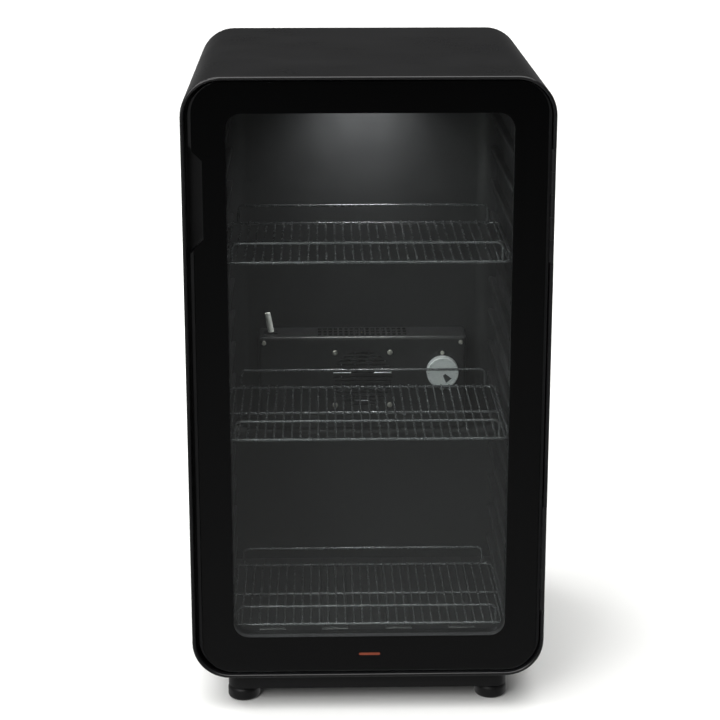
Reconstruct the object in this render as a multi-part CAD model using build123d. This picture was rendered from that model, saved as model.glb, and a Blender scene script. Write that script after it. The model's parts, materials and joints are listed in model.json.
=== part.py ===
from build123d import *
from dataclasses import dataclass
from math import atan2, cos, degrees, radians, sin
import os

# Compact glass-door drinks cooler. Millimetres. +Z is up, the door faces -Y and +X is to the right.
# The origin is on the floor, under the middle of the cabinet.
# A position along the depth is given as a distance behind the front rim, and front() turns it into Y.

# ---- cabinet ----
width = 465.0
height = 850.0
depth = 475.0
cabinet_bottom = 48.0
corner_radius = 50.0
sheet = 1.0
rim_width = 4.5
rim_depth = 8.0

# ---- insulated room inside ----
liner_wall = 2.0
flange_at = 46.0
room_half_width = 193.5
room_top = 810.0
room_radius = 30.0
room_back = 380.0
room_back_radius = 28.0
floor_front = 94.0
floor_back = 82.0
hump_at = 330.0
hump_top = 287.0
rib_pitch = 48.0
rib_reach = 9.0
rib_thickness = 9.0
lowest_rib = 119.0
rib_count = 14
floor_rib_width = 36.0
floor_rib_pitch = 85.0
floor_rib_height = 2.5
back_panel_at = 432.0
bay_at = 362.0
bay_top = 255.0

# ---- door ----
door_middle = 1.7
door_half_width = 224.7
door_bottom = 56.0
door_top = 844.0
door_radius = 44.0
glass_half_width = 220.7
glass_radius = 40.0
glass_at = 1.5
glass_thickness = 4.0
print_thickness = 0.3
air_gap = 12.0
window_half_width = 179.0
window_bottom = 105.0
window_top = 804.0
window_radius = 20.0
spacer_width = 8.0
frame_back = 36.0
grip_bottom = 633.0
grip_top = 758.0
grip_notch = 12.0
grip_pocket = 22.0
grip_pocket_back = 28.0
gasket_half_width = 208.0
gasket_bottom = 76.0
gasket_top = 826.0
gasket_width = 11.0
fit_gap = 0.3

# ---- hinges ----
pivot_x = 229.5
pivot_at = 3.0
knuckle_radius = 3.0
knuckle_count = 5
pin_radius = 1.5
pin_clearance = 0.05
hinge_length = 145.0
upper_hinge_z = 614.0
lower_hinge_z = 141.0
leaf_thickness = 1.2
leaf_front = 8.5
leaf_back = 34.0
leaf_tab_x = 212.0
tab_screw_x = 220.0
door_screw_at = 22.0

# ---- wire shelves ----
shelf_half_width = 190.0
shelf_front = 60.0
shelf_back = 290.0
shelf_middle = 173.0
frame_wire = 4.0
grid_wire = 2.6
grid_pitch = 11.7
grid_count = 32
weld_sink = 1.0
rail_half_width = 174.0
rail_height = 22.0
rib_steps_to_middle = 5
rib_steps_to_top = 10

# ---- evaporator, fan and thermostat ----
cover_half_width = 150.0
cover_top = 424.0
cover_wall = 2.0
fan_size = 92.0
fan_depth = 25.0
fan_z = 360.5
fan_screw_half = 39.7
fan_bore = 43.0
grille_slots = 14
grille_pitch = 6.0
grille_gap = 2.6
dial_x = 115.5
dial_z = 372.5
dial_radius = 23.0
dial_depth = 13.0
shaft_radius = 3.0
pointer_angle = 52.0

# ---- base ----
plinth_half_width = 187.0
plinth_front = 20.0
plinth_back = 455.0
plinth_bottom = 23.0
foot_x = 167.0
foot_front = 50.0
foot_back = 425.0
foot_radius = 21.5
stud_radius = 4.0

# ---- refrigeration ----
compressor_x = 30.0
compressor_at = 419.0
leg_reach = 76.0
leg_hole_half = 38.0
tube_radius = 2.4
condenser_at = 450.0
condenser_bottom = 300.0
condenser_top = 790.0
evaporator_runs = 5
evaporator_pitch = 22.0
evaporator_tube_radius = 3.5


def front(distance):
    """Y of a plane that lies this far behind the front rim."""
    return distance - depth / 2


def block(x0, x1, d0, d1, z0, z1):
    """A box between two X, two depth and two Z planes."""
    return Pos(x0, front(d0), z0) * Box(x1 - x0, d1 - d0, z1 - z0, align=(Align.MIN, Align.MIN, Align.MIN))


def rod(start, end, radius):
    """A round bar from one point to another."""
    path = Vector(*end) - Vector(*start)
    return Plane(origin=start, z_dir=path) * extrude(Circle(radius), amount=path.length)


def disc_y(x, d0, d1, z, radius):
    """A round bar along Y between two depth planes."""
    return rod((x, front(d0), z), (x, front(d1), z), radius)


def disc_x(x0, x1, d, z, radius):
    """A round bar along X."""
    return rod((x0, front(d), z), (x1, front(d), z), radius)


def disc_z(x, d, z0, z1, radius):
    """An upright round bar."""
    return rod((x, front(d), z0), (x, front(d), z1), radius)


def pipe(points, radii, radius):
    """A bent tube's outside: straight runs joined by tangent arcs."""
    path = FilletPolyline(*points, radius=radii)
    start = Plane(origin=path @ 0, z_dir=path % 0)
    return sweep(start * Circle(radius), path=path)


def joined(shapes):
    """One solid from shapes that touch or overlap."""
    first, *rest = shapes
    return first.fuse(*rest)


@dataclass
class Outline:
    """A rounded rectangle seen from the front, which can be inset and made into a prism."""
    left: float
    right: float
    bottom: float
    top: float
    radius: float

    def inset(self, amount):
        radius = max(self.radius - amount, 1.0)
        return Outline(self.left + amount, self.right - amount, self.bottom + amount, self.top - amount, radius)

    def prism(self, d0, d1):
        middle = ((self.left + self.right) / 2, front(d1), (self.bottom + self.top) / 2)
        plane = Plane(origin=middle, x_dir=(1, 0, 0), z_dir=(0, -1, 0))
        face = RectangleRounded(self.right - self.left, self.top - self.bottom, self.radius)
        return extrude(plane * face, amount=d1 - d0)

    def ring(self, wall, d0, d1):
        return self.prism(d0, d1) - self.inset(wall).prism(d0 - 1, d1 + 1)


def door_outline(half_width, bottom, top, radius):
    """An outline on the door's own middle line."""
    return Outline(door_middle - half_width, door_middle + half_width, bottom, top, radius)


cabinet = Outline(-width / 2, width / 2, cabinet_bottom, height, corner_radius)
door = door_outline(door_half_width, door_bottom, door_top, door_radius)
glass = door_outline(glass_half_width, door_bottom, door_top, glass_radius)
window = door_outline(window_half_width, window_bottom, window_top, window_radius)
gasket = door_outline(gasket_half_width, gasket_bottom, gasket_top, 30.0)

print_at = glass_at + glass_thickness
spacer_at = print_at + print_thickness
inner_glass_at = print_at + air_gap
inner_glass_back = inner_glass_at + glass_thickness
floor_angle = degrees(atan2(floor_front - floor_back, hump_at - flange_at))
middle_shelf_z = lowest_rib + rib_steps_to_middle * rib_pitch
top_shelf_z = lowest_rib + rib_steps_to_top * rib_pitch


# ---------------------------------------------------------------- cabinet shell

def outer_shell():
    """One steel sheet wrapped round into a tube, with a rolled rim at the front."""
    tube = cabinet.ring(sheet, 2, depth)
    rim = cabinet.ring(rim_width, 0, rim_depth)
    rim = fillet(rim.edges().group_by(Axis.Y)[0], 2)
    shell = tube + rim
    for bottom in (lower_hinge_z, upper_hinge_z):
        shell -= block(pivot_x - knuckle_radius - 1, width, -1, leaf_front + 0.5, bottom - 0.5,
                       bottom + hinge_length + 0.5)
    return shell


def room(grow):
    """The space inside the liner, grown outwards by a wall."""
    space = Outline(-room_half_width - grow, room_half_width + grow, 60.0 - grow, room_top + grow,
                    room_radius + grow).prism(flange_at, room_back + grow)
    space = fillet(space.edges().group_by(Axis.Y)[-1], room_back_radius + grow)
    hump = block(-width, width, hump_at + grow, depth, 0, hump_top - grow)
    hump = fillet(hump.edges().filter_by(Axis.X).group_by(Axis.Z)[-1].sort_by(Axis.Y)[0], 12)
    slab = Box(2 * width, 2 * depth, 100, align=(Align.CENTER, Align.CENTER, Align.MAX))
    floor = Pos(0, front(flange_at), floor_front - grow) * Rot(-floor_angle, 0, 0) * slab
    return space - hump - floor


def wall_rib(side, z):
    """A moulded rail on a side wall, which carries a shelf's edge."""
    back = hump_at if z < hump_top else room_back
    reach = room_half_width - rib_reach
    bar = block(reach, room_half_width + 1, flange_at + 14, back, z - rib_thickness, z)
    bar = fillet(bar.edges().filter_by(Axis.Y).group_by(Axis.X)[0], 3)
    return bar if side > 0 else mirror(bar, about=Plane.YZ)


def floor_rib(x):
    """A raised pad that runs back along the sloping floor."""
    length = hump_at - flange_at - 12
    pad = Box(floor_rib_width, length, floor_rib_height + 1, align=(Align.CENTER, Align.MIN, Align.MIN))
    pad = chamfer(pad.edges().group_by(Axis.Z)[-1], 1.5)
    return Pos(x, front(flange_at), floor_front) * Rot(-floor_angle, 0, 0) * Pos(0, 6, -1) * pad


def inner_liner():
    """The moulded room lining, with its front flange, wall rails and floor pads."""
    flange = cabinet.inset(sheet).prism(flange_at, flange_at + liner_wall)
    shape = flange + room(liner_wall) - room(0)
    ribs = [wall_rib(side, lowest_rib + step * rib_pitch) for step in range(rib_count) for side in (-1, 1)]
    shape += joined(ribs) & room(liner_wall / 2)
    for step in (-1.5, -0.5, 0.5, 1.5):
        shape += floor_rib(step * floor_rib_pitch)
    return shape - disc_y(0, hump_at + 10, room_back + 10, cover_top - 8, 1)


def insulation_foam():
    """The foam that fills the space between liner, shell, back panel and compressor bay."""
    block_of_foam = cabinet.inset(sheet).prism(flange_at + liner_wall, back_panel_at)
    bay = block(-width, width, bay_at, depth, 0, bay_top)
    return block_of_foam - room(liner_wall) - bay - drain_hole()


def drain_hole():
    """The way of the drain tube from behind the fan cover down into the bay."""
    return disc_z(-120, 372, bay_top - 5, hump_top - liner_wall + 1, 6)


def back_panel():
    """The flat sheet that closes the foam at the back, above the compressor bay."""
    panel = cabinet.inset(sheet).prism(back_panel_at, back_panel_at + sheet)
    panel -= block(-width, width, 0, depth, 0, bay_top)
    for x, z in panel_screw_places():
        panel -= disc_y(x, 0, depth, z, 1.8)
    return panel


def panel_screw_places():
    """X and Z of the screws along the two sides of the back panel."""
    return [(x, z) for x in (-217, 217) for z in (285, 455, 625, 795)]


def panel_screws():
    """The screws that hold the back panel."""
    screws = []
    for x, z in panel_screw_places():
        head = disc_y(x, back_panel_at + sheet, back_panel_at + sheet + 2.2, z, 3.8)
        head = fillet(head.edges().group_by(Axis.Y)[-1], 1.0)
        screws.append(head + disc_y(x, back_panel_at - 10, back_panel_at + sheet, z, 1.8))
    return screws


def compressor_bay_panel():
    """The bent sheet that roofs the compressor bay and closes its front."""
    inner = cabinet.inset(sheet).prism(bay_at, back_panel_at + sheet)
    bent = block(-width, width, bay_at, back_panel_at + sheet, 0, bay_top)
    hollow = block(-width, width, bay_at + sheet, depth, -1, bay_top - sheet)
    panel = (bent - hollow) & inner
    return panel - disc_z(-120, 372, bay_top - 5, bay_top + 5, 6)


def plinth():
    """The shallow base under the cabinet, open underneath, that the feet screw into."""
    body = block(-plinth_half_width, plinth_half_width, plinth_front, plinth_back, plinth_bottom, cabinet_bottom)
    body = fillet(body.edges().filter_by(Axis.Z), 18)
    hollow = block(-plinth_half_width + 3, plinth_half_width - 3, plinth_front + 3, plinth_back - 3,
                   plinth_bottom - 1, cabinet_bottom - 3)
    body -= fillet(hollow.edges().filter_by(Axis.Z), 15)
    for x in (-foot_x, foot_x):
        for d in (foot_front, foot_back):
            body += disc_z(x, d, plinth_bottom, cabinet_bottom - 2, 13)
    for x in (-foot_x, foot_x):
        for d in (foot_front, foot_back):
            body -= disc_z(x, d, 0, cabinet_bottom - 5, stud_radius + pin_clearance)
    return body


# ---------------------------------------------------------------- door

def grip_cut(left, reach, d0, d1, margin):
    """A finger recess in the door's left edge, with ends cut at 45 degrees."""
    points = [
        (left - 1, grip_bottom - margin - 1),
        (left + reach, grip_bottom - margin + reach),
        (left + reach, grip_top + margin - reach),
        (left - 1, grip_top + margin + 1),
    ]
    plane = Plane(origin=(0, front(d1), 0), x_dir=(1, 0, 0), z_dir=(0, -1, 0))
    return extrude(plane * make_face(Polyline(*points, close=True)), amount=d1 - d0)


def door_frame():
    """The moulded ring that holds the two panes, hollowed for the fingers and the panes."""
    ring = door.prism(spacer_at, frame_back)
    ring -= window.inset(-14).prism(spacer_at - 1, inner_glass_back + fit_gap)
    ring -= window.inset(-2).prism(0, frame_back + 1)
    ring = fillet(ring.edges().group_by(Axis.Y)[-1], 2)
    ring -= grip_cut(door.left, grip_pocket, spacer_at - 1, grip_pocket_back, 6)
    for z in door_hinge_screw_heights():
        ring -= disc_x(door.right - 14, door.right + 1, door_screw_at, z, 1.7)
    return ring


def outer_glass():
    """The front pane, with the finger notch in its left edge."""
    pane = glass.prism(glass_at, print_at)
    pane = chamfer(pane.edges().group_by(Axis.Y)[0], 0.8)
    return pane - grip_cut(glass.left, grip_notch, 0, print_at + 1, 0)


def printed_border():
    """The opaque print on the back of the front pane, around the window."""
    layer = glass.inset(0.5).prism(print_at, spacer_at) - window.prism(0, frame_back)
    return layer - grip_cut(glass.left, grip_notch + 0.5, 0, frame_back, 0)


def glass_spacer():
    """The hollow bar that keeps the panes apart."""
    return window.inset(-spacer_width - 1).ring(spacer_width, spacer_at, inner_glass_at)


def inner_glass():
    return window.inset(-12).prism(inner_glass_at, inner_glass_back)


def door_gasket():
    """The magnetic seal: a flat foot in the frame and a bellows that meets the flange."""
    foot = gasket.ring(gasket_width, frame_back, frame_back + 2)
    bellows = gasket.inset(1.5).ring(gasket_width - 3, frame_back + 2, flange_at - fit_gap)
    bellows = fillet(bellows.edges().group_by(Axis.Y)[-1], 2)
    return foot + bellows


# ---------------------------------------------------------------- hinges

def knuckles(bottom, first):
    """Lower and upper ends of every other knuckle of one hinge, from the first one given."""
    pitch = hinge_length / knuckle_count
    for step in range(first, knuckle_count, 2):
        z0 = bottom + step * pitch + fit_gap / 2
        yield z0, z0 + pitch - fit_gap


def hinge_leaf(bottom, first, strap_x0, strap_x1, plate_x0, bore_radius):
    """One leaf of a knuckle hinge: its knuckles, a strap behind each, and the plate along the door's edge."""
    plate = block(plate_x0, plate_x0 + leaf_thickness, leaf_front, leaf_back, bottom, bottom + hinge_length)
    for z0, z1 in knuckles(bottom, first):
        plate += disc_z(pivot_x, pivot_at, z0, z1, knuckle_radius)
        plate += block(strap_x0, strap_x1, pivot_at, leaf_front + fit_gap, z0, z1)
    return plate - disc_z(pivot_x, pivot_at, 0, height, bore_radius)


def cabinet_leaf(bottom):
    """The fixed leaf, bent inwards at the back into a tab that is screwed to the liner's flange."""
    inside = width / 2 - sheet
    leaf = hinge_leaf(bottom, 0, inside - leaf_thickness, inside + 0.9, inside - leaf_thickness, pin_radius)
    leaf += block(inside - leaf_thickness, inside, leaf_back, flange_at, bottom, bottom + hinge_length)
    leaf += block(leaf_tab_x, inside, flange_at - leaf_thickness, flange_at, bottom, bottom + hinge_length)
    for z in screw_heights(bottom):
        leaf -= disc_y(tab_screw_x, 0, flange_at + 1, z, 2.0)
    return leaf


def door_leaf(bottom):
    """The moving leaf, screwed to the door frame's right edge."""
    leaf = hinge_leaf(bottom, 1, door.right + 0.1, door.right + leaf_thickness, door.right,
                      pin_radius + pin_clearance)
    for z in screw_heights(bottom):
        leaf -= disc_x(door.right - 1, width, door_screw_at, z, 1.7)
    return leaf


def hinge_bottoms():
    return lower_hinge_z, upper_hinge_z


def screw_heights(bottom):
    """Heights of the three screws in one leaf."""
    return [bottom + share * hinge_length for share in (0.12, 0.5, 0.88)]


def door_hinge_screw_heights():
    return [z for bottom in hinge_bottoms() for z in screw_heights(bottom)]


def hinge_cabinet_leaves():
    return [cabinet_leaf(bottom) for bottom in hinge_bottoms()]


def hinge_door_leaves():
    return [door_leaf(bottom) for bottom in hinge_bottoms()]


def hinge_pins():
    """Two steel pins, tight in the fixed leaves and free in the moving ones."""
    return [disc_z(pivot_x, pivot_at, z + 0.2, z + hinge_length - 0.2, pin_radius) for z in hinge_bottoms()]


def hinge_screws():
    """The screws that hold the fixed leaves to the flange."""
    screws = []
    head_at = flange_at - leaf_thickness
    for z in door_hinge_screw_heights():
        head = disc_y(tab_screw_x, head_at - 1.8, head_at, z, 3.6)
        screws.append(head + disc_y(tab_screw_x, head_at, flange_at + 14, z, 2.0))
    return screws


def door_hinge_screws():
    """The screws that hold the moving leaves to the door frame."""
    screws = []
    head_x = door.right + leaf_thickness
    for z in door_hinge_screw_heights():
        head = disc_x(head_x, head_x + 1.5, door_screw_at, z, 3.2)
        screws.append(head + disc_x(door.right - 14, head_x, door_screw_at, z, 1.7))
    return screws


# ---------------------------------------------------------------- wire shelves

def shelf_grid():
    """A welded wire grid: a frame wire, a middle wire, and thin wires on top of them. Its top is at Z 0."""
    frame_z = weld_sink - grid_wire - frame_wire / 2
    near = front(shelf_front + frame_wire / 2)
    far = front(shelf_back - frame_wire / 2)
    reach = shelf_half_width - frame_wire / 2
    half_loop = pipe([(0, near, frame_z), (reach, near, frame_z), (reach, far, frame_z), (0, far, frame_z)],
                     12, frame_wire / 2)
    cross = rod((-reach, front(shelf_middle), frame_z), (reach, front(shelf_middle), frame_z), frame_wire / 2)
    frame = half_loop.fuse(mirror(half_loop, about=Plane.YZ)).fuse(cross)
    wires = []
    for step in range(grid_count):
        x = (step - (grid_count - 1) / 2) * grid_pitch
        z = -grid_wire / 2
        wires.append(rod((x, near, z), (x, far, z), grid_wire / 2))
    return frame.fuse(*wires)


def guard_rail(d):
    """A low wire loop that stands up on the grid's frame wire and keeps the bottles on the shelf."""
    foot_z = weld_sink - grid_wire
    points = [
        (-rail_half_width, front(d), foot_z),
        (-rail_half_width, front(d), rail_height),
        (rail_half_width, front(d), rail_height),
        (rail_half_width, front(d), foot_z),
    ]
    return pipe(points, 8, frame_wire / 2 - 0.3)


def guard_rails():
    edge = frame_wire / 2
    return [guard_rail(shelf_front + edge), guard_rail(shelf_back - edge)]


def place_shelf(shape, name):
    """Put a shelf part on its rails, or on the sloping floor for the lowest one."""
    thickness = grid_wire + frame_wire - weld_sink
    heights = {"top": top_shelf_z, "middle": middle_shelf_z}
    if name in heights:
        return Pos(0, 0, heights[name] + thickness + fit_gap) * shape
    lift = floor_rib_height + thickness + fit_gap
    return (Pos(0, front(flange_at), floor_front) * Rot(-floor_angle, 0, 0)
            * Pos(0, 0, lift) * Pos(0, -front(flange_at), 0) * shape)


# ---------------------------------------------------------------- evaporator, fan, thermostat, lamp

def evaporator_cover():
    """The moulded cover in front of the evaporator, with vent slots in its top and a slotted fan grille."""
    body = block(-cover_half_width, cover_half_width, hump_at, room_back, hump_top, cover_top)
    body = fillet(body.edges().filter_by(Axis.X).group_by(Axis.Z)[-1].sort_by(Axis.Y)[0], 5)
    body = fillet(body.edges().filter_by(Axis.Z).group_by(Axis.Y)[0], 5)
    body -= block(-cover_half_width + cover_wall, cover_half_width - cover_wall, hump_at + cover_wall, depth,
                  hump_top - 1, cover_top - cover_wall)
    opening = disc_y(0, 0, hump_at + 10, fan_z, fan_bore)
    for row in range(grille_slots):
        z = fan_z + (row - (grille_slots - 1) / 2) * grille_pitch
        body -= opening & block(-fan_bore, fan_bore, 0, depth, z - grille_gap / 2, z + grille_gap / 2)
    for row in range(3):
        for column in range(17):
            x = (column - 8) * 7.7
            d = hump_at + 8 + row * 14
            body -= block(x - 2.6, x + 2.6, d, d + 10, cover_top - 5, cover_top + 1)
    for x in (-fan_screw_half, fan_screw_half):
        for z in (fan_z - fan_screw_half, fan_z + fan_screw_half):
            body -= disc_y(x, 0, hump_at + 5, z, 2.0)
    for x in (-142, 142):
        body -= disc_y(x, 0, hump_at + 5, cover_top - 9, 1.8)
    return body - disc_y(dial_x, 0, hump_at + 5, dial_z, shaft_radius + 1)


def cover_screws():
    """Two screws through the cover's top corners into bosses on the back wall."""
    screws = []
    for x in (-142, 142):
        head = disc_y(x, hump_at - 1.8, hump_at, cover_top - 9, 3.2)
        screws.append(head + disc_y(x, hump_at, room_back + 1, cover_top - 9, 1.8))
    return screws


def fan_frame():
    """The square fan housing, with its round bore and the four struts that hold the motor."""
    at = hump_at + cover_wall
    half = fan_size / 2
    body = block(-half, half, at, at + fan_depth, fan_z - half, fan_z + half)
    body = fillet(body.edges().filter_by(Axis.Y), 4)
    body -= disc_y(0, 0, depth, fan_z, fan_bore)
    hub = disc_y(0, at + fan_depth - 4, at + fan_depth, fan_z, 15)
    for angle in (45, 135, 225, 315):
        tip = (44 * cos(radians(angle)), front(at + fan_depth - 2), fan_z + 44 * sin(radians(angle)))
        hub += rod((0, front(at + fan_depth - 2), fan_z), tip, 1.8)
    body += hub
    for x in (-fan_screw_half, fan_screw_half):
        for z in (fan_z - fan_screw_half, fan_z + fan_screw_half):
            body -= disc_y(x, 0, depth, z, 2.0)
    axle = disc_y(0, at + 4, at + fan_depth, fan_z, 2.0)
    return body + axle


def fan_rotor():
    """The fan wheel: a cup-shaped hub with seven pitched blades, free on the motor's axle."""
    at = hump_at + cover_wall
    hub = disc_y(0, at + 3, at + fan_depth - 5, fan_z, 16) - disc_y(0, 0, depth, fan_z, 2.0 + pin_clearance)
    blade = Box(1.8, 15, 25, align=(Align.CENTER, Align.CENTER, Align.MIN))
    for step in range(7):
        spoke = Pos(0, front(at + 11.5), fan_z) * Rot(0, step * 360 / 7, 0) * Pos(0, 0, 15) * Rot(0, 0, 38) * blade
        hub += spoke
    return hub


def fan_screws():
    """Four pan-head screws that clamp the fan to the cover."""
    screws = []
    for x in (-fan_screw_half, fan_screw_half):
        for z in (fan_z - fan_screw_half, fan_z + fan_screw_half):
            head = disc_y(x, hump_at - 2.4, hump_at, z, 3.9)
            head = fillet(head.edges().group_by(Axis.Y)[0], 1.2)
            screws.append(head + disc_y(x, hump_at, hump_at + 24, z, 2.0))
    return screws


def evaporator_fins():
    """The pack of thin plates that the evaporator tube's level runs pass through."""
    fins = []
    for step in range(12):
        x = (step - 5.5) * 20
        fin = block(x - 0.6, x + 0.6, 362, 378, 300, 412)
        for z in evaporator_run_heights():
            fin -= rod((x - 5, front(370), z), (x + 5, front(370), z), evaporator_tube_radius)
        fins.append(fin)
    return fins


def evaporator_run_heights():
    return [312 + step * evaporator_pitch for step in range(evaporator_runs)]


def evaporator_tube():
    """The cold tube: level runs joined by bends, that passes through the fins."""
    points = []
    for step, z in enumerate(evaporator_run_heights()):
        ends = (-128, 128) if step % 2 == 0 else (128, -128)
        points.append((ends[0], front(370), z))
        points.append((ends[1], front(370), z))
    return pipe(points, evaporator_pitch / 2 - 0.5, evaporator_tube_radius)


def thermostat_body():
    """The switch box behind the dial, with its shaft and the two ears that its screws hold."""
    at = hump_at + cover_wall
    body = block(dial_x - 20, dial_x + 20, at, at + 28, dial_z - 24, dial_z + 24)
    shaft = disc_y(dial_x, hump_at - 10, at, dial_z, shaft_radius)
    plate = block(dial_x - 8, dial_x + 8, hump_at - 1, hump_at, dial_z - 31, dial_z + 31)
    return body + shaft + fillet(plate.edges().filter_by(Axis.Y), 5)


def thermostat_screws():
    """Two screws above and below the dial."""
    screws = []
    for z in (dial_z - 27, dial_z + 27):
        head = disc_y(dial_x, hump_at - 3, hump_at - 1, z, 3.0)
        screws.append(fillet(head.edges().group_by(Axis.Y)[0], 0.9))
    return screws


def thermostat_knob():
    """The round dial, with a ring groove in its face and a wedge-shaped finger dip that marks the setting."""
    back = hump_at - 1.5
    face = back - dial_depth
    knob = disc_y(dial_x, face, back, dial_z, dial_radius)
    knob = fillet(knob.edges().group_by(Axis.Y)[0], 1.5)
    groove = disc_y(dial_x, face - 1, face + 0.8, dial_z, 18.6) - disc_y(dial_x, face - 2, face + 2, dial_z, 17.4)
    plane = Plane(origin=(dial_x, front(face + 2), dial_z), x_dir=(1, 0, 0), z_dir=(0, -1, 0))
    wedge = make_face(Polyline((3, -2.5), (15, -5.5), (15, 5.5), (3, 2.5), close=True))
    dip = extrude(plane * Rot(0, 0, -pointer_angle) * wedge, amount=3)
    return knob - groove - dip - disc_y(dial_x, hump_at - 10.5, hump_at, dial_z, shaft_radius + pin_clearance)


def sensor_probe():
    """The sealed temperature probe, which stands in a clip on top of the cover."""
    return rod((-132, front(352), cover_top + 2), (-137, front(352), cover_top + 30), 4.2)


def probe_clip():
    """The small clip that holds the probe."""
    base = block(-142, -122, 345, 359, cover_top, cover_top + 2)
    return fillet(base.edges().filter_by(Axis.Z), 3)


def lamp_housing():
    """The lamp's tray on the ceiling."""
    tray = block(-95, 95, 290, 335, room_top - 12, room_top)
    tray = fillet(tray.edges().filter_by(Axis.Z), 8)
    return tray - block(-90, 90, 295, 330, room_top - 13, room_top - 2)


def led_board():
    """The strip that carries the light sources."""
    return block(-85, 85, 305, 320, room_top - 4, room_top - 2)


def lamp_lens():
    """The frosted window under the lamp."""
    lens = block(-89.5, 89.5, 295.5, 329.5, room_top - 13.5, room_top - 10)
    return fillet(lens.edges().group_by(Axis.Z)[0], 1.2)


# ---------------------------------------------------------------- refrigeration

def compressor():
    """The sealed compressor: two pressed half shells with a welded band between them."""
    plane = Plane(origin=(compressor_x, front(compressor_at), 68))
    pot = extrude(plane * SlotOverall(170, 100), amount=118)
    pot = fillet(pot.edges().group_by(Axis.Z)[-1], 34)
    pot = fillet(pot.edges().group_by(Axis.Z)[0], 22)
    band = extrude(plane.offset(56) * SlotOverall(176, 106), amount=5)
    return pot + band


def compressor_feet():
    """The two flat legs welded under the compressor."""
    legs = []
    for x in (compressor_x - leg_reach, compressor_x + leg_reach):
        leg = block(x - 14, x + 14, compressor_at - 50, compressor_at + 48, 64, 68)
        for d in (compressor_at - leg_hole_half, compressor_at + leg_hole_half):
            leg -= disc_z(x, d, 0, height, 6.5)
        legs.append(leg)
    return legs


def compressor_mounts():
    """X and depth of the four points where the compressor is held."""
    xs = (compressor_x - leg_reach, compressor_x + leg_reach)
    depths = (compressor_at - leg_hole_half, compressor_at + leg_hole_half)
    return [(x, d) for x in xs for d in depths]


def compressor_grommets():
    """Four rubber blocks that carry the compressor's legs."""
    grommets = []
    for x, d in compressor_mounts():
        body = disc_z(x, d, 51, 64, 10) + disc_z(x, d, 64, 68, 6.5) + disc_z(x, d, 68, 71, 9)
        grommets.append(body - disc_z(x, d, 0, height, 4))
    return grommets


def compressor_bolts():
    """Four bolts through the rubber blocks."""
    bolts = []
    for x, d in compressor_mounts():
        bolts.append(disc_z(x, d, 51, 71, 3.9) + disc_z(x, d, 71, 76, 7))
    return bolts


def compressor_tray():
    """The steel floor of the bay, which carries the compressor."""
    tray = block(-200, 200, bay_at + 3, 468, 49, 51)
    return tray & cabinet.inset(sheet).prism(0, depth)


def terminal_box():
    """The box on the compressor's side with its relay and terminals."""
    body = block(compressor_x - 118, compressor_x - 84, compressor_at - 24, compressor_at + 24, 98, 152)
    return fillet(body.edges().filter_by(Axis.X), 5)


def evaporation_tray():
    """The shallow tray over the compressor that catches the defrost water."""
    tray = block(-150, 110, 363.5, 430, 206, 226)
    tray = fillet(tray.edges().filter_by(Axis.Z), 8)
    well = block(-148, 108, 365.5, 428, 208, 230)
    return tray - fillet(well.edges().filter_by(Axis.Z), 6)


def drain_tube():
    """The short tube that leads defrost water down into the tray."""
    tube = disc_z(-120, 372, 214, hump_top - liner_wall, 5.8)
    return tube - disc_z(-120, 372, 200, height, 4)


def filter_drier():
    """The copper drying cartridge, upright beside the compressor."""
    body = disc_z(170, 420, 110, 190, 9)
    body = fillet(body.edges().group_by(Axis.Z)[-1], 5)
    return fillet(body.edges().group_by(Axis.Z)[0], 5)


def discharge_pipe():
    """Hot gas pipe, from the compressor up to the condenser."""
    points = [
        (compressor_x + 60, front(446), 168),
        (compressor_x + 60, front(462), 182),
        (compressor_x + 60, front(462), 240),
        (182, front(condenser_at), 275),
        (182, front(condenser_at), condenser_bottom),
    ]
    return pipe(points, 8, tube_radius)


def liquid_pipe():
    """Pipe from the condenser down to the drying cartridge."""
    points = [
        (182, front(condenser_at), condenser_top),
        (205, front(condenser_at), condenser_top),
        (205, front(condenser_at), 236),
        (170, front(420), 215),
        (170, front(420), 188),
    ]
    return pipe(points, 9, tube_radius)


def capillary_tube():
    """The thin metering tube below the cartridge, wound in a few turns, then led up into the foam."""
    turns = 4
    coil = Helix(pitch=4.0, height=4.0 * turns, radius=14, center=(170, front(420), 78))
    section = Plane(origin=coil @ 0, z_dir=coil % 0) * Circle(1.1)
    riser = rod((170 + 14, front(420), 78 + 4.0 * turns), (170 + 14, front(420), 104), 1.1)
    link = rod((170 + 14, front(420), 103), (170 + 5, front(420), 112), 1.1)
    return joined([sweep(section, path=coil, is_frenet=True), riser, link])


def suction_pipe():
    """Cold gas pipe, from the foam down to the compressor."""
    points = [
        (126, front(400), bay_top - sheet),
        (126, front(400), 236),
        (126, front(436), 200),
        (96, front(436), 160),
    ]
    return pipe(points, 12, 3.2)


def condenser_tube():
    """The flat serpentine on the back: level runs joined by bends."""
    points = []
    runs = 12
    step_z = (condenser_top - condenser_bottom) / (runs - 1)
    for step in range(runs):
        z = condenser_bottom + step * step_z
        ends = (182, -182) if step % 2 == 0 else (-182, 182)
        points.append((ends[0], front(condenser_at), z))
        points.append((ends[1], front(condenser_at), z))
    return pipe(points, step_z / 2 - 0.5, tube_radius)


def condenser_wires():
    """The thin upright wires welded to both sides of the serpentine."""
    wire_radius = 0.8
    wires = []
    for step in range(28):
        x = (step - 13.5) * 12.4
        side = -1 if step % 2 == 0 else 1
        y = front(condenser_at + side * (tube_radius + wire_radius))
        wires.append(rod((x, y, condenser_bottom - 10), (x, y, condenser_top + 10), wire_radius))
    return wires


def condenser_brackets():
    """Four plastic stand-offs that hold the condenser away from the back panel."""
    stands = []
    for x in (-150, 150):
        for z in (367, 723):
            stands.append(block(x - 7, x + 7, back_panel_at + sheet, condenser_at - 4, z - 9, z + 9))
    return stands


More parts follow.
